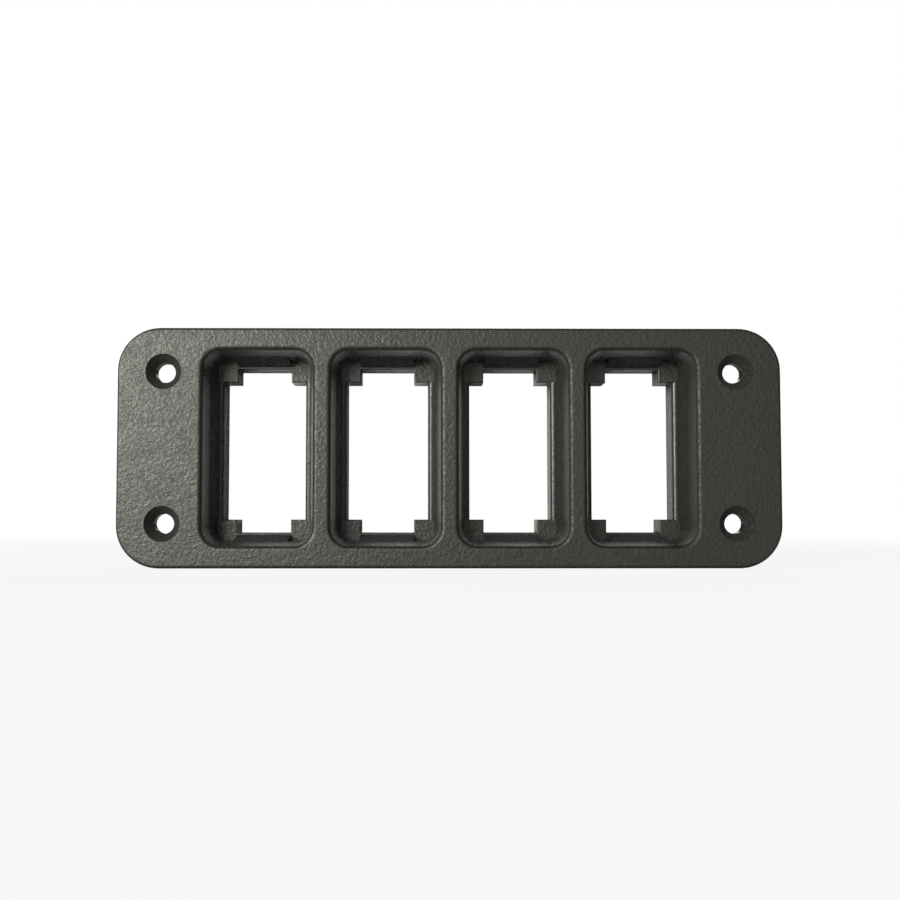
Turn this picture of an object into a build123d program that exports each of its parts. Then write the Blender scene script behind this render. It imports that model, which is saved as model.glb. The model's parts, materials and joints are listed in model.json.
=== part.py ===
from build123d import *
from math import radians, tan
import os

# Four-gang switch panel, moulded in one piece.
# X runs along the panel, Z is its height and Y its depth. The front face looks toward -Y,
# and the back of the plate, which seats on the dashboard, lies on Y = 0. Sizes are in millimetres.

# Opening for one tall push switch, with a tab left in each corner
opening_width = 19.8
opening_height = 40.0
tab_width = 3.4
tab_height = 3.2
opening_side_radius = 1.0
opening_edge_radius = 0.3

# Row of switches
switch_count = 4
web_width = 3.8

# Pocket round each opening. A margin is how far an outline stands outside the opening,
# a depth is measured from the front face, and the ledge is the flat strip that is left
# between the foot of a side wall and the rounded edge of the opening.
rim_margin = 3.2
rim_corner_radius = 4.6
rim_edge_radius = 1.1
mouth_depth = 3.65
mouth_draft = 17.5
foot_side_ledge = 0.1
foot_end_margin = 0.5
seat_side_margin = 1.5
seat_end_margin = 1.8
seat_corner_radius = 2.4
seat_depth = 8.9

# Front plate, from the pocket rims outward
plate_thickness = 3.8
end_border = 19.7
side_border = 5.0
plate_corner_radius = 10.0
plate_edge_radius = 0.8

# Countersunk screw holes, measured from the edges of the plate
screw_end_distance = 10.8
screw_side_distance = 10.4
screw_hole_diameter = 4.7
countersink_diameter = 8.4
countersink_angle = 90.0

# Housings behind the plate
housing_wall = 2.0
housing_draft = 1.5
housing_edge_chamfer = 0.6
sleeve_wall = 2.0
sleeve_depth = 14.0
sleeve_corner_radius = 1.2

# Sizes that follow from the driving dimensions
rim_width = opening_width + 2 * rim_margin
rim_height = opening_height + 2 * rim_margin
switch_pitch = rim_width + web_width
row_width = rim_width + (switch_count - 1) * switch_pitch
plate_length = row_width + 2 * end_border
plate_height = rim_height + 2 * side_border
screw_spacing_x = plate_length - 2 * screw_end_distance
screw_spacing_z = plate_height - 2 * screw_side_distance
mouth_inset = mouth_depth * tan(radians(mouth_draft))
mouth_foot_margin = rim_margin - mouth_inset
mouth_foot_radius = rim_corner_radius - mouth_inset
foot_side_margin = opening_side_radius + foot_side_ledge
housing_margin = mouth_foot_margin + housing_wall
housing_depth = seat_depth + housing_wall
seat_level = seat_depth - plate_thickness


def at_depth(depth):
    """Plane parallel to the front face and this far behind it, looking into the panel."""
    return Plane.back.offset(depth - plate_thickness)


def pocket_outline(side_margin, end_margin, corner_radius):
    """Rounded rectangle that stands outside one switch opening by the two margins."""
    RectangleRounded(
        opening_width + 2 * side_margin,
        opening_height + 2 * end_margin,
        corner_radius,
    )


def sharp_opening_edges(hollow):
    """Front edges of the opening and its tabs that are not rounded yet."""
    return (
        hollow.edges()
        .filter_by_position(Axis.Y, seat_level, seat_level)
        .filter_by_position(Axis.X, -opening_width / 2, opening_width / 2)
        .filter_by_position(Axis.Z, -opening_height / 2, opening_height / 2)
    )


# Hollow over the four corner seats, which run out from the tabs. Between the tabs the pocket's
# walls slope down to the opening instead, so the seats end square against them.
with BuildPart() as seat_hollow:
    with BuildSketch(at_depth(mouth_depth)):
        pocket_outline(mouth_foot_margin, mouth_foot_margin, mouth_foot_radius)
    with BuildSketch(at_depth(seat_depth)):
        pocket_outline(seat_side_margin, seat_end_margin, seat_corner_radius)
    loft(ruled=True)
    with BuildSketch(at_depth(mouth_depth)):
        Rectangle(opening_width - 2 * tab_width, rim_height)
        Rectangle(rim_width, opening_height - 2 * tab_height)
    extrude(amount=seat_depth - mouth_depth, mode=Mode.SUBTRACT)

# Hollow of one whole pocket
with BuildPart() as pocket_hollow:
    # Flared mouth
    with BuildSketch(at_depth(0)):
        pocket_outline(rim_margin, rim_margin, rim_corner_radius)
    extrude(amount=mouth_depth, taper=mouth_draft)

    # Walls that slope on to the opening, and the corner seats
    with BuildSketch(at_depth(mouth_depth)):
        pocket_outline(mouth_foot_margin, mouth_foot_margin, mouth_foot_radius)
    with BuildSketch(at_depth(seat_depth)):
        pocket_outline(foot_side_margin, foot_end_margin, seat_corner_radius)
    loft(ruled=True)
    add(seat_hollow.part)

    # Opening with its corner tabs
    with BuildSketch(at_depth(seat_depth)):
        Rectangle(opening_width, opening_height)
        with GridLocations(opening_width - tab_width, opening_height - tab_height, 2, 2):
            Rectangle(tab_width, tab_height, mode=Mode.SUBTRACT)
    extrude(amount=sleeve_depth - seat_depth)

    # Rounded front edges of the opening, broadest on its long sides, which lie furthest out
    upright_edges = sharp_opening_edges(pocket_hollow).filter_by(Axis.Z).group_by(Axis.X)
    fillet(upright_edges[0] + upright_edges[-1], opening_side_radius)
    fillet(sharp_opening_edges(pocket_hollow), opening_edge_radius)

with BuildPart() as switch_panel:
    # Front plate
    with BuildSketch(at_depth(0)):
        RectangleRounded(plate_length, plate_height, plate_corner_radius)
    extrude(amount=plate_thickness)

    # Housings, each with its sleeve round the opening
    with BuildSketch(at_depth(plate_thickness)):
        with GridLocations(switch_pitch, 1, switch_count, 1):
            pocket_outline(housing_margin, housing_margin, mouth_foot_radius + housing_wall)
    extrude(amount=housing_depth - plate_thickness, taper=housing_draft)
    chamfer(switch_panel.faces().group_by(Axis.Y)[-1].edges(), housing_edge_chamfer)
    with BuildSketch(at_depth(housing_depth)):
        with GridLocations(switch_pitch, 1, switch_count, 1):
            pocket_outline(sleeve_wall, sleeve_wall, sleeve_corner_radius)
    extrude(amount=sleeve_depth - housing_depth)

    # Pockets
    with GridLocations(switch_pitch, 1, switch_count, 1):
        add(pocket_hollow.part, mode=Mode.SUBTRACT)

    # Rounded rims and outline of the front face
    front_face = switch_panel.faces().sort_by(Axis.Y)[0]
    rim_edges = ShapeList(edge for wire in front_face.inner_wires() for edge in wire.edges())
    fillet(rim_edges, rim_edge_radius)
    front_face = switch_panel.faces().sort_by(Axis.Y)[0]
    fillet(front_face.outer_wire().edges(), plate_edge_radius)

    # Screw holes
    with Locations(-at_depth(0)):
        with GridLocations(screw_spacing_x, screw_spacing_z, 2, 2):
            CounterSinkHole(
                radius=screw_hole_diameter / 2,
                counter_sink_radius=countersink_diameter / 2,
                counter_sink_angle=countersink_angle,
            )

switch_panel.part.label = "switch_panel"

os.makedirs("parts", exist_ok=True)
export_step(switch_panel.part, "parts/switch_panel.step")
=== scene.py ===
import json
import logging
import math
from collections.abc import Callable
from dataclasses import dataclass
from enum import Enum

import bpy
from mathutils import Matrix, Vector


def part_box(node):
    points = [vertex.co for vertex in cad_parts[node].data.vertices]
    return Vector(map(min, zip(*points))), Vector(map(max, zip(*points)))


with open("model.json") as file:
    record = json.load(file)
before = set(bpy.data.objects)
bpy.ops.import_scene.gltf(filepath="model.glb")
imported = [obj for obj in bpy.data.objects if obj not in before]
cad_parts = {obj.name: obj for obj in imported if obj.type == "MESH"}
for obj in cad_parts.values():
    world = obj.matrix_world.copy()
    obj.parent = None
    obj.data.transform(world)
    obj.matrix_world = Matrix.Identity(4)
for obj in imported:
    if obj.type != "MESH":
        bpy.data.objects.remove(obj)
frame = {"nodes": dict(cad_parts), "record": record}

# Looks of the four-gang switch panel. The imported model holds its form, and this script gives it its
# moulded finish, a pale floor, soft light and the photograph's camera. Lengths are in metres unless
# a name ends in _mm. X runs along the panel, Z is its height, and its front face looks toward -Y.

LOG = logging.getLogger("switch_panel")
MM = 0.001
PANEL_NODE = "switch_panel"
OPENING_MOUNT = "switch_opening"
WHITE = "#ffffff"

# Sockets of the Mix node when it blends colours, by number because several share one name
MIX_SHARE, MIX_FIRST, MIX_SECOND, MIX_RESULT = 0, 6, 7, 2
# Middle part of a noise texture's values, past which few of them fall
NOISE_LOW, NOISE_HIGH = 0.3, 0.7
# Angle that the wave texture turns through in one unit of length at a scale of 1
WAVE_RADIANS = 20


def linear(hex_colour: str) -> tuple[float, float, float, float]:
    """Turns an sRGB hex colour into linear light.

    Args:
        hex_colour: Colour such as "#2e2e2b".

    Returns:
        Red, green, blue and an alpha of 1, as the shader's sockets take them.
    """
    channels = (int(hex_colour[start:start + 2], 16) / 255 for start in (1, 3, 5))
    red, green, blue = (
        channel / 12.92 if channel <= 0.04045 else ((channel + 0.055) / 1.055) ** 2.4
        for channel in channels
    )
    return red, green, blue, 1.0


def add_node(
    tree: bpy.types.NodeTree,
    kind: str,
    settings: dict[str, object] | None = None,
    inputs: dict[str | int, object] | None = None,
) -> bpy.types.Node:
    """Adds a node with its settings and links.

    Args:
        tree: Node tree that takes the node.
        kind: Blender's name for the kind of node.
        settings: Values of the node's own properties, by name.
        inputs: Values of its inputs, by name or number. A socket is linked, and anything else is
            set.

    Returns:
        The node, whose outputs can feed the next one.
    """
    node = tree.nodes.new(kind)
    for name, value in (settings or {}).items():
        setattr(node, name, value)
    for key, value in (inputs or {}).items():
        if isinstance(value, bpy.types.NodeSocket):
            tree.links.new(value, node.inputs[key])
        else:
            node.inputs[key].default_value = value
    return node


def mask_between(
    tree: bpy.types.NodeTree, value: bpy.types.NodeSocket, low: float, high: float,
) -> bpy.types.NodeSocket:
    """Turns a value into a mask.

    Args:
        tree: Material's node tree.
        value: Value to test.
        low: Where the mask is 0.
        high: Where the mask is 1.

    Returns:
        The mask, which runs smoothly between the two.
    """
    node = add_node(tree, "ShaderNodeMapRange", {"interpolation_type": "SMOOTHSTEP"}, {
        "Value": value,
        "From Min": low,
        "From Max": high,
    })
    return node.outputs["Result"]


def mix_colours(
    tree: bpy.types.NodeTree,
    share: bpy.types.NodeSocket,
    first: object,
    second: object,
    way: str = "MIX",
) -> bpy.types.NodeSocket:
    """Blends two colours.

    Args:
        tree: Node tree of the material or world.
        share: How much of the second one to take.
        first: Colour or socket.
        second: Colour or socket.
        way: Blender's name for the way of blending.

    Returns:
        The blend.
    """
    node = add_node(tree, "ShaderNodeMix", {"data_type": "RGBA", "blend_type": way}, {
        MIX_SHARE: share,
        MIX_FIRST: first,
        MIX_SECOND: second,
    })
    return node.outputs[MIX_RESULT]


class Zone(Enum):
    """Kinds of surface on the moulding, told apart by how far they look to the front.

    Each value is where the zone's mask is 0 and where it is 1, on a scale from -1 on the back to 1
    on the face. Rounded edges and the cones of the countersinks lie in a band, between the place
    where it rises and the place where it falls. A cone at 45 degrees looks 0.71 to the front.
    """

    BACK = (-0.3, -0.8)
    POCKET = (0.04, 0.12)
    FACE = (0.45, 0.85)
    EDGE_RISING = (0.31, 0.46)
    EDGE_FALLING = (0.985, 0.88)
    CONE_RISING = (0.65, 0.68)
    CONE_FALLING = (0.76, 0.73)


def mask_band(
    tree: bpy.types.NodeTree, facing: bpy.types.NodeSocket, rising: Zone, falling: Zone,
) -> bpy.types.NodeSocket:
    """Masks the surfaces that look to the front by neither too little nor too much.

    Args:
        tree: Material's node tree.
        facing: How far a spot looks to the front.
        rising: Where the band begins.
        falling: Where the band ends.

    Returns:
        The mask of the band.
    """
    node = add_node(tree, "ShaderNodeMath", {"operation": "MULTIPLY"}, {
        0: mask_between(tree, facing, *rising.value),
        1: mask_between(tree, facing, *falling.value),
    })
    return node.outputs[0]


@dataclass(frozen=True)
class Skin:
    """Look of one kind of surface on the moulding.

    Its colour is sRGB, and its grain is the share that it has of the full depth of the grain.
    """

    colour: str
    roughness: float
    grain: float

    def tint(self) -> tuple[float, float, float, float]:
        """Gives the colour as linear light."""
        return linear(self.colour)

    def relief(self) -> tuple[float, float, float, float]:
        """Packs roughness and grain into red and green, so that both are blended at once."""
        return self.roughness, self.grain, 0.0, 1.0


@dataclass(frozen=True)
class GrainedAbs:
    """Injection-moulded ABS, charcoal, with a spark-eroded grain on all that faces the front.

    The grain breaks the light into fine specks and spreads it into a satin sheen. The mouth of each
    pocket is drawn smooth by the tool and coloured lighter than the face, which is a painted
    reflection. Below it the wall is eroded as rough as the face and coloured near black with a cool
    tint, which is painted shade, and the sleeve shines again. The rounded rims are coloured darker
    than the face as painted shade, the lips of the openings shine as the sleeve does, the
    countersinks are dead matt and coloured darker than the face as painted shade, and the back has
    the satin of a machined tool.

    Edges and walls change with their depth behind the front face, in millimetres. The real grain
    is finer than the picture can show, so it is drawn as coarse as it looks in the photograph.
    """

    front: float
    back: float
    name: str = "moulded_abs_grained_painted_light"
    face: Skin = Skin("#2a2a28", 0.42, 1.0)
    # Painted shade: the countersink cones are coloured darker than the face; their dead matt
    # roughness is the real finish.
    cone_with_painted_shade: Skin = Skin("#191816", 1.0, 0.1)
    drawn: Skin = Skin("#262624", 0.27, 0.1)
    rear: Skin = Skin("#242422", 0.42, 0.15)
    # Painted shade: the rim roundings, within 2 mm of the front, are coloured near black; the lips of
    # the openings deeper down keep about the face's tone.
    edges_with_painted_shade: tuple[tuple[float, Skin], ...] = (
        (2.0, Skin("#0f0f0e", 0.6, 0.7)),
        (6.0, Skin("#2b2b28", 0.3, 0.1)),
    )
    # Painted reflection and painted shade: the smooth mouth is coloured lighter than the face, and
    # the eroded wall below it near black with a cool tint. Their roughness is the real finish, and
    # from 9.2 mm the sleeve keeps the drawn skin.
    walls_with_painted_light: tuple[tuple[float, Skin], ...] = (
        (0.8, Skin("#3c3d3b", 0.3, 0.1)),
        (3.3, Skin("#171718", 0.55, 0.3)),
        (3.9, Skin("#07070a", 0.95, 1.0)),
        (8.7, Skin("#07070a", 0.95, 1.0)),
        (9.2, Skin("#262624", 0.27, 0.1)),
    )
    ior: float = 1.6
    grain_mm: float = 0.82
    grain_height_mm: float = 0.16
    crater_share: float = 0.3
    crater_smoothness: float = 0.6
    tooth_detail: float = 3.0
    tooth_roughness: float = 0.65
    cloud_mm: float = 9.0
    cloud_detail: float = 3.0
    cloud_range: tuple[float, float] = (0.35, 0.7)
    cloud_share: float = 0.4
    cloud_tint: str = "#faf5eb"
    patch_mm: float = 3.0
    patch_share: float = 0.1
    tip_mm: float = 0.5
    tip_share: float = 0.3
    sheen_detail: float = 2.0
    tool_line_mm: float = 0.5
    tool_line_share: float = 0.12
    tool_line_wander: float = 0.4

    def build(self) -> bpy.types.Material:
        """Builds the material.

        Returns:
            The finished material.
        """
        material = bpy.data.materials.new(self.name)
        material.use_nodes = True
        tree = material.node_tree
        tree.nodes.clear()
        place = add_node(tree, "ShaderNodeTexCoord").outputs["Object"]
        facing = self._facing(tree)
        depth = self._depth(tree, place)
        tint = self._blend(tree, facing, depth, Skin.tint)
        relief = self._blend(tree, facing, depth, Skin.relief)
        parts = add_node(tree, "ShaderNodeSeparateColor", inputs={"Color": relief}).outputs
        bump = add_node(tree, "ShaderNodeBump", inputs={
            "Strength": 1.0,
            "Distance": self.grain_height_mm * MM,
            "Height": self._height(tree, place, facing, parts["Green"]),
        })
        shader = add_node(tree, "ShaderNodeBsdfPrincipled", inputs={
            "Base Color": self._mottled(tree, place, tint),
            "Roughness": self._uneven(tree, place, parts["Red"]),
            "IOR": self.ior,
            "Normal": bump.outputs["Normal"],
        })
        add_node(tree, "ShaderNodeOutputMaterial", inputs={"Surface": shader.outputs["BSDF"]})
        return material

    def _facing(self, tree: bpy.types.NodeTree) -> bpy.types.NodeSocket:
        """Finds how far a spot looks to the front.

        Args:
            tree: Material's node tree.

        Returns:
            The amount, from -1 on the back to 1 on the face.
        """
        normal = add_node(tree, "ShaderNodeNewGeometry").outputs["Normal"]
        parts = add_node(tree, "ShaderNodeSeparateXYZ", inputs={"Vector": normal})
        turned = add_node(tree, "ShaderNodeMath", {"operation": "MULTIPLY"}, {
            0: parts.outputs["Y"],
            1: -1.0,
        })
        return turned.outputs[0]

    def _depth(self, tree: bpy.types.NodeTree, place: bpy.types.NodeSocket) -> bpy.types.NodeSocket:
        """Finds how deep a spot lies.

        Args:
            tree: Material's node tree.
            place: Object coordinates.

        Returns:
            The depth, from 0 on the front face to 1 at the end of the sleeves.
        """
        parts = add_node(tree, "ShaderNodeSeparateXYZ", inputs={"Vector": place})
        node = add_node(tree, "ShaderNodeMapRange", inputs={
            "Value": parts.outputs["Y"],
            "From Min": self.front,
            "From Max": self.back,
        })
        return node.outputs["Result"]

    def _blend(
        self,
        tree: bpy.types.NodeTree,
        facing: bpy.types.NodeSocket,
        depth: bpy.types.NodeSocket,
        quality: Callable[[Skin], tuple[float, float, float, float]],
    ) -> bpy.types.NodeSocket:
        """Spreads one quality of the skins over the moulding, zone by zone.

        Args:
            tree: Material's node tree.
            facing: How far a spot looks to the front.
            depth: How deep it lies, from 0 to 1.
            quality: Reads the quality from a skin.

        Returns:
            The quality at each spot.
        """
        # The wall skins carry a painted reflection and painted shade, and the rim skin carries
        # painted shade.
        walls_with_painted_light = self._by_depth(tree, depth, self.walls_with_painted_light, quality)
        edges_with_painted_shade = self._by_depth(tree, depth, self.edges_with_painted_shade, quality)
        layers = (
            (mask_between(tree, facing, *Zone.BACK.value), quality(self.rear)),
            (mask_between(tree, facing, *Zone.POCKET.value), walls_with_painted_light),
            (mask_between(tree, facing, *Zone.FACE.value), quality(self.face)),
            (mask_band(tree, facing, Zone.EDGE_RISING, Zone.EDGE_FALLING), edges_with_painted_shade),
            (mask_band(tree, facing, Zone.CONE_RISING, Zone.CONE_FALLING), quality(self.cone_with_painted_shade)),
        )
        out = quality(self.drawn)
        for mask, layer in layers:
            out = mix_colours(tree, mask, out, layer)
        return out

    def _by_depth(
        self,
        tree: bpy.types.NodeTree,
        depth: bpy.types.NodeSocket,
        skins: tuple[tuple[float, Skin], ...],
        quality: Callable[[Skin], tuple[float, float, float, float]],
    ) -> bpy.types.NodeSocket:
        """Blends skins from one depth to the next.

        Args:
            tree: Material's node tree.
            depth: How deep a spot lies, from 0 to 1.
            skins: Depths behind the front face in millimetres, each with its skin.
            quality: Reads the quality from a skin.

        Returns:
            The quality at each depth.
        """
        ramp = add_node(tree, "ShaderNodeValToRGB", inputs={"Fac": depth})
        stops = ramp.color_ramp.elements
        stops.remove(stops[0])
        for number, (depth_mm, skin) in enumerate(skins):
            position = depth_mm * MM / (self.back - self.front)
            stop = stops.new(position) if number else stops[0]
            stop.position = position
            stop.color = quality(skin)
        return ramp.outputs["Color"]

    def _height(
        self,
        tree: bpy.types.NodeTree,
        place: bpy.types.NodeSocket,
        facing: bpy.types.NodeSocket,
        grain: bpy.types.NodeSocket,
    ) -> bpy.types.NodeSocket:
        """Makes the relief: spark craters under finer tooth, and tool lines on the back.

        Args:
            tree: Material's node tree.
            place: Object coordinates.
            facing: How far a spot looks to the front.
            grain: Share of the full grain.

        Returns:
            Height in units of the grain's depth.
        """
        craters = add_node(tree, "ShaderNodeTexVoronoi", {"feature": "SMOOTH_F1"}, {
            "Vector": place,
            "Scale": 1 / (self.grain_mm * MM),
            "Smoothness": self.crater_smoothness,
        })
        tooth = add_node(tree, "ShaderNodeTexNoise", inputs={
            "Vector": place,
            "Scale": 1 / (self.grain_mm * MM),
            "Detail": self.tooth_detail,
            "Roughness": self.tooth_roughness,
        })
        joined = add_node(tree, "ShaderNodeMath", {"operation": "MULTIPLY_ADD"}, {
            0: craters.outputs["Distance"],
            1: self.crater_share,
            2: tooth.outputs["Fac"],
        })
        lines = add_node(tree, "ShaderNodeTexWave", {"bands_direction": "Z"}, {
            "Vector": place,
            "Scale": 2 * math.pi / (WAVE_RADIANS * self.tool_line_mm * MM),
            "Distortion": self.tool_line_wander,
        })
        tooled = add_node(tree, "ShaderNodeMath", {"operation": "MULTIPLY"}, {
            0: lines.outputs["Fac"],
            1: mask_between(tree, facing, *Zone.BACK.value),
        })
        scaled = add_node(tree, "ShaderNodeMath", {"operation": "MULTIPLY"}, {
            0: tooled.outputs[0],
            1: self.tool_line_share,
        })
        height = add_node(tree, "ShaderNodeMath", {"operation": "MULTIPLY_ADD"}, {
            0: joined.outputs[0],
            1: grain,
            2: scaled.outputs[0],
        })
        return height.outputs[0]

    def _mottled(
        self, tree: bpy.types.NodeTree, place: bpy.types.NodeSocket, tint: bpy.types.NodeSocket,
    ) -> bpy.types.NodeSocket:
        """Warms the charcoal in faint clouds, as the pigment varies in a moulding.

        Args:
            tree: Material's node tree.
            place: Object coordinates.
            tint: Colour of the skin.

        Returns:
            The colour at each spot.
        """
        cloud = add_node(tree, "ShaderNodeTexNoise", inputs={
            "Vector": place,
            "Scale": 1 / (self.cloud_mm * MM),
            "Detail": self.cloud_detail,
        })
        share = add_node(tree, "ShaderNodeMath", {"operation": "MULTIPLY"}, {
            0: mask_between(tree, cloud.outputs["Fac"], *self.cloud_range),
            1: self.cloud_share,
        })
        return mix_colours(tree, share.outputs[0], tint, linear(self.cloud_tint), "MULTIPLY")

    def _uneven(
        self,
        tree: bpy.types.NodeTree,
        place: bpy.types.NodeSocket,
        roughness: bpy.types.NodeSocket,
    ) -> bpy.types.NodeSocket:
        """Varies the sheen.

        Handling leaves it in patches, and it is brighter on the polished tips of the grain.

        Args:
            tree: Material's node tree.
            place: Object coordinates.
            roughness: Roughness of the skin.

        Returns:
            The roughness at each spot.
        """
        for period_mm, share in (
            (self.patch_mm, self.patch_share),
            (self.tip_mm, self.tip_share),
        ):
            noise = add_node(tree, "ShaderNodeTexNoise", inputs={
                "Vector": place,
                "Scale": 1 / (period_mm * MM),
                "Detail": self.sheen_detail,
            })
            spread = add_node(tree, "ShaderNodeMapRange", inputs={
                "Value": noise.outputs["Fac"],
                "From Min": NOISE_LOW,
                "From Max": NOISE_HIGH,
                "To Min": 1 - share,
                "To Max": 1 + share,
            })
            varied = add_node(tree, "ShaderNodeMath", {"operation": "MULTIPLY"}, {
                0: roughness,
                1: spread.outputs["Result"],
            })
            roughness = varied.outputs[0]
        return roughness


@dataclass
class Panel:
    """The panel itself: one moulded piece, whose CAD node keeps its own mesh."""

    node: str = PANEL_NODE

    def dress(self) -> None:
        """Gives the moulding its finish, which needs to know how deep the pockets run."""
        piece = frame["nodes"][self.node]
        low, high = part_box(self.node)
        material = GrainedAbs(front=low.y, back=high.y).build()
        piece.data.materials.clear()
        piece.data.materials.append(material)
        LOG.info("%s dressed in %s", self.node, material.name)


@dataclass(frozen=True)
class Lamp:
    """Soft square lamp that looks at the panel.

    Its brightness is that of its glowing face, where 1 shows as plain white.
    """

    name: str
    direction: tuple[float, float, float]
    distance: float
    size: float
    brightness: float
    colour: str = WHITE

    def hang(self) -> bpy.types.Object:
        """Hangs the lamp.

        Returns:
            The lamp.
        """
        data = bpy.data.lights.new(self.name, "AREA")
        data.shape = "SQUARE"
        data.size = self.size
        data.energy = self.brightness * math.pi * self.size ** 2
        data.color = linear(self.colour)[:3]
        lamp = bpy.data.objects.new(self.name, data)
        way = Vector(self.direction).normalized()
        lamp.location = way * self.distance
        lamp.rotation_euler = (-way).to_track_quat("-Z", "Y").to_euler()
        bpy.context.scene.collection.objects.link(lamp)
        LOG.info("%s hung at %.2f m", self.name, self.distance)
        return lamp


@dataclass
class BouncePaper:
    """White paper close behind each switch opening, which the camera doesn't see.

    It is lit through the openings and mirrored faintly in the walls of the sleeves, as the paper
    is that a panel lies on. Each sheet is a little smaller than its opening, so that the ends of
    the sleeves stay open to the lamps behind.
    """

    level: float
    places: list[float]
    width: float = 19.4 * MM
    height: float = 39.6 * MM
    gap: float = 0.5 * MM
    colour: str = "#eef0fa"
    name: str = "bounce_paper"

    def build(self) -> bpy.types.Object:
        """Builds the row of papers and hides it from the camera.

        Returns:
            The papers, one plain mesh.
        """
        seed_mesh = bpy.data.meshes.new(self.name)
        maker = bpy.data.objects.new(self.name + "_maker", seed_mesh)
        bpy.context.scene.collection.objects.link(maker)
        tree, sockets = self._tree()
        modifier = maker.modifiers.new("row", "NODES")
        modifier.node_group = tree
        values = {
            "Count": len(self.places),
            "Pitch": self.places[1] - self.places[0],
            "First": self.places[0],
            "Level": self.level + self.gap,
            "Width": self.width,
            "Height": self.height,
        }
        for label, value in values.items():
            modifier[sockets[label]] = value
        seen = maker.evaluated_get(bpy.context.evaluated_depsgraph_get())
        mesh = bpy.data.meshes.new_from_object(seen)
        bpy.data.objects.remove(maker)
        paper = bpy.data.objects.new(self.name, mesh)
        bpy.context.scene.collection.objects.link(paper)
        paper.visible_camera = False
        LOG.info("%s: %d sheets", self.name, len(self.places))
        return paper

    def _tree(self) -> tuple[bpy.types.NodeTree, dict[str, str]]:
        """Writes the node tree that sets the papers out in a row.

        Returns:
            The tree, and its inputs' identifiers by name.
        """
        tree = bpy.data.node_groups.new("paper_row", "GeometryNodeTree")
        kinds = {
            "Count": "NodeSocketInt",
            "Pitch": "NodeSocketFloat",
            "First": "NodeSocketFloat",
            "Level": "NodeSocketFloat",
            "Width": "NodeSocketFloat",
            "Height": "NodeSocketFloat",
        }
        sockets = {
            label: tree.interface.new_socket(label, in_out="INPUT", socket_type=kind).identifier
            for label, kind in kinds.items()
        }
        tree.interface.new_socket("Geometry", in_out="OUTPUT", socket_type="NodeSocketGeometry")
        sizes = add_node(tree, "NodeGroupInput").outputs
        sheet = add_node(tree, "GeometryNodeMeshGrid", inputs={
            "Size X": sizes["Width"],
            "Size Y": sizes["Height"],
            "Vertices X": 2,
            "Vertices Y": 2,
        })
        upright = add_node(tree, "GeometryNodeTransform", inputs={
            "Geometry": sheet.outputs["Mesh"],
            "Rotation": (math.radians(90), 0.0, 0.0),
        })
        start = add_node(tree, "ShaderNodeCombineXYZ", inputs={
            "X": sizes["First"],
            "Y": sizes["Level"],
        })
        step = add_node(tree, "ShaderNodeCombineXYZ", inputs={"X": sizes["Pitch"]})
        row = add_node(tree, "GeometryNodeMeshLine", inputs={
            "Count": sizes["Count"],
            "Start Location": start.outputs["Vector"],
            "Offset": step.outputs["Vector"],
        })
        copies = add_node(tree, "GeometryNodeInstanceOnPoints", inputs={
            "Points": row.outputs["Mesh"],
            "Instance": upright.outputs["Geometry"],
        })
        real = add_node(tree, "GeometryNodeRealizeInstances", inputs={
            "Geometry": copies.outputs["Instances"],
        })
        dressed = add_node(tree, "GeometryNodeSetMaterial", inputs={
            "Geometry": real.outputs["Geometry"],
            "Material": self._material(),
        })
        add_node(tree, "NodeGroupOutput", inputs={"Geometry": dressed.outputs["Geometry"]})
        return tree, sockets

    def _material(self) -> bpy.types.Material:
        """Makes matt white paper, which only spreads light.

        Returns:
            The finished material.
        """
        material = bpy.data.materials.new("matt_white_paper")
        material.use_nodes = True
        tree = material.node_tree
        tree.nodes.clear()
        paper = add_node(tree, "ShaderNodeBsdfDiffuse", inputs={"Color": linear(self.colour)})
        add_node(tree, "ShaderNodeOutputMaterial", inputs={"Surface": paper.outputs[0]})
        return material


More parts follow.
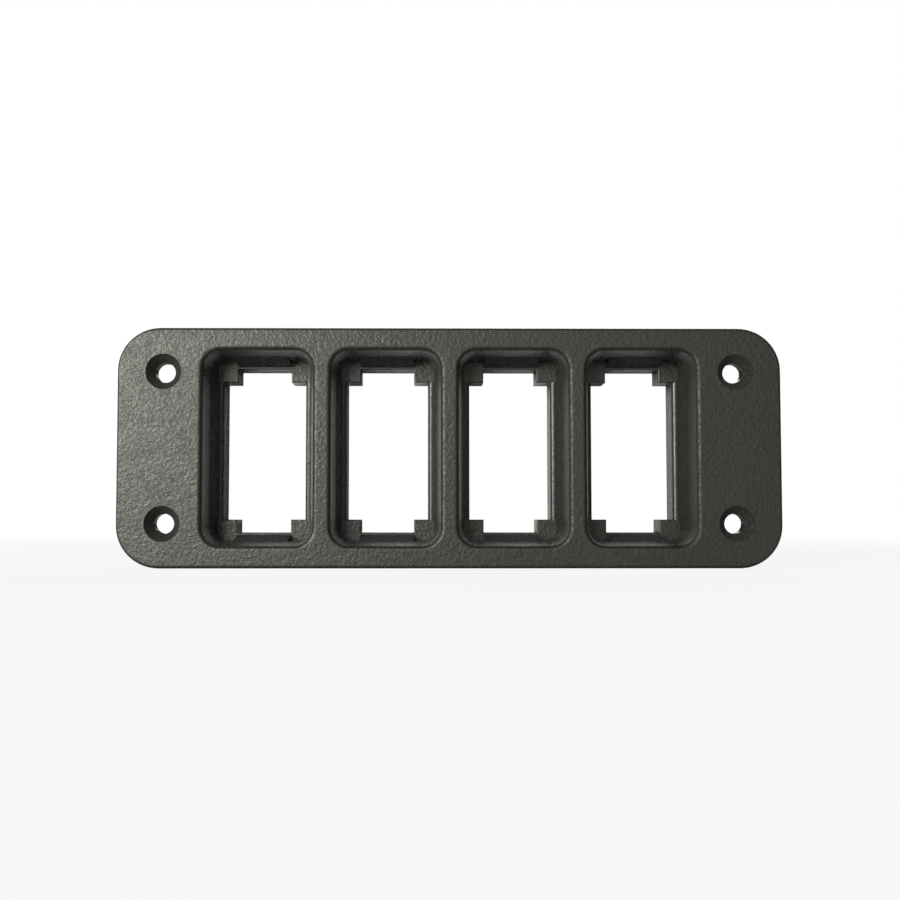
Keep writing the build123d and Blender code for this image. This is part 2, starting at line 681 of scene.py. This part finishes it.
@dataclass
class Studio:
    """Pale floor under the panel, a white surround and soft lamps."""

    floor_level: float
    floor_half_size: float = 1.2
    floor_colour: str = "#c8c8c6"
    floor_glow: float = 0.88
    fade_start: float = 0.12
    fade_end: float = 0.5
    surround_colour: str = "#dfe4ff"
    surround_strength: float = 0.06
    lamps: tuple[Lamp, ...] = (
        Lamp("key_window", (-0.85, -1.0, 0.26), 0.76, 0.54, 9.5, "#fffff2"),
        Lamp("front_softbox", (0.0, -1.0, 0.15), 1.0, 1.1, 0.65, "#fffff2"),
        Lamp("back_softbox", (0.5, 1.0, 0.8), 1.0, 0.6, 4.0),
    )

    def build(self) -> None:
        """Builds the floor, the surround and the lamps."""
        self._floor()
        self._surround()
        for lamp in self.lamps:
            lamp.hang()

    def _floor(self) -> None:
        """Lays the floor at the panel's lowest point."""
        half = self.floor_half_size
        corners = [(-half, -half), (half, -half), (half, half), (-half, half)]
        mesh = bpy.data.meshes.new("studio_floor")
        mesh.from_pydata([(x, y, self.floor_level) for x, y in corners], [], [(0, 1, 2, 3)])
        floor = bpy.data.objects.new("studio_floor", mesh)
        bpy.context.scene.collection.objects.link(floor)
        mesh.materials.append(self._floor_material())

    def _floor_material(self) -> bpy.types.Material:
        """Makes matt pale card, which the camera sees nearly white but for the panel's shadow.

        Returns:
            The finished material.
        """
        material = bpy.data.materials.new("matt_pale_card")
        material.use_nodes = True
        tree = material.node_tree
        tree.nodes.clear()
        card = add_node(tree, "ShaderNodeBsdfDiffuse", inputs={"Color": linear(self.floor_colour)})
        glow = add_node(tree, "ShaderNodeEmission", inputs={
            "Color": linear(WHITE),
            "Strength": 1.0,
        })
        place = add_node(tree, "ShaderNodeTexCoord").outputs["Object"]
        away = add_node(tree, "ShaderNodeVectorMath", {"operation": "LENGTH"}, {0: place})
        fade = add_node(tree, "ShaderNodeMapRange", {"interpolation_type": "SMOOTHSTEP"}, {
            "Value": away.outputs["Value"],
            "From Min": self.fade_start,
            "From Max": self.fade_end,
            "To Min": self.floor_glow,
            "To Max": 1.0,
        })
        rays = add_node(tree, "ShaderNodeLightPath")
        share = add_node(tree, "ShaderNodeMath", {"operation": "MULTIPLY"}, {
            0: rays.outputs["Is Camera Ray"],
            1: fade.outputs["Result"],
        })
        mixed = add_node(tree, "ShaderNodeMixShader", inputs={
            0: share.outputs[0],
            1: card.outputs[0],
            2: glow.outputs[0],
        })
        add_node(tree, "ShaderNodeOutputMaterial", inputs={"Surface": mixed.outputs[0]})
        return material

    def _surround(self) -> None:
        """Makes the world white to the camera and a dim cool grey as a light."""
        world = bpy.data.worlds.new("studio_surround")
        world.use_nodes = True
        tree = world.node_tree
        tree.nodes.clear()
        seen = add_node(tree, "ShaderNodeLightPath").outputs["Is Camera Ray"]
        strength = add_node(tree, "ShaderNodeMapRange", inputs={
            "Value": seen,
            "To Min": self.surround_strength,
            "To Max": 1.0,
        })
        light = add_node(tree, "ShaderNodeBackground", inputs={
            "Color": mix_colours(tree, seen, linear(self.surround_colour), linear(WHITE)),
            "Strength": strength.outputs["Result"],
        })
        add_node(tree, "ShaderNodeOutputWorld", inputs={"Surface": light.outputs[0]})
        bpy.context.scene.world = world


@dataclass(frozen=True)
class PhotoCamera:
    """The photograph's camera, worked out from its perspective.

    The picture is taken as 900 pixels square. The camera stands distance_mm before the front face,
    looks a little up and to the right, and its shift frames the panel as the photograph does.
    """

    picture_pixels: float = 900.0
    focal_pixels: float = 781.2
    centre_pixel: tuple[float, float] = (429.1, 492.4)
    distance_mm: float = 181.8
    place_mm: tuple[float, float] = (-5.95, -16.98)
    pitch_degrees: float = 2.045
    yaw_degrees: float = 0.339
    sensor_mm: float = 36.0
    nearest: float = 0.01
    farthest: float = 10.0

    def build(self, front: float) -> bpy.types.Object:
        """Sets the camera up.

        Args:
            front: Y of the panel's front face.

        Returns:
            The camera, which is the scene's own.
        """
        data = bpy.data.cameras.new("photo_camera")
        data.sensor_width = self.sensor_mm
        data.lens = self.sensor_mm * self.focal_pixels / self.picture_pixels
        data.shift_x = 0.5 - self.centre_pixel[0] / self.picture_pixels
        data.shift_y = self.centre_pixel[1] / self.picture_pixels - 0.5
        data.clip_start = self.nearest
        data.clip_end = self.farthest
        camera = bpy.data.objects.new("photo_camera", data)
        x_mm, z_mm = self.place_mm
        camera.location = (x_mm * MM, front - self.distance_mm * MM, z_mm * MM)
        pitch = math.radians(90 + self.pitch_degrees)
        camera.rotation_euler = (pitch, 0.0, -math.radians(self.yaw_degrees))
        bpy.context.scene.collection.objects.link(camera)
        bpy.context.scene.camera = camera
        LOG.info("camera %.1f mm, shift %.4f %.4f", data.lens, data.shift_x, data.shift_y)
        return camera


def main() -> None:
    """Dresses the panel and sets up its studio."""
    logging.basicConfig(level=logging.INFO, format="%(name)s: %(message)s")
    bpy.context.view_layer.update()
    low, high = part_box(PANEL_NODE)
    Panel().dress()
    openings = sorted(
        mount["pos_m"][0]
        for mount in frame["record"]["mounts"]
        if mount["name"].startswith(OPENING_MOUNT)
    )
    BouncePaper(level=high.y, places=openings).build()
    Studio(floor_level=low.z).build()
    PhotoCamera().build(low.y)
    bpy.context.scene.view_settings.view_transform = "Standard"


if __name__ == "__main__":
    main()
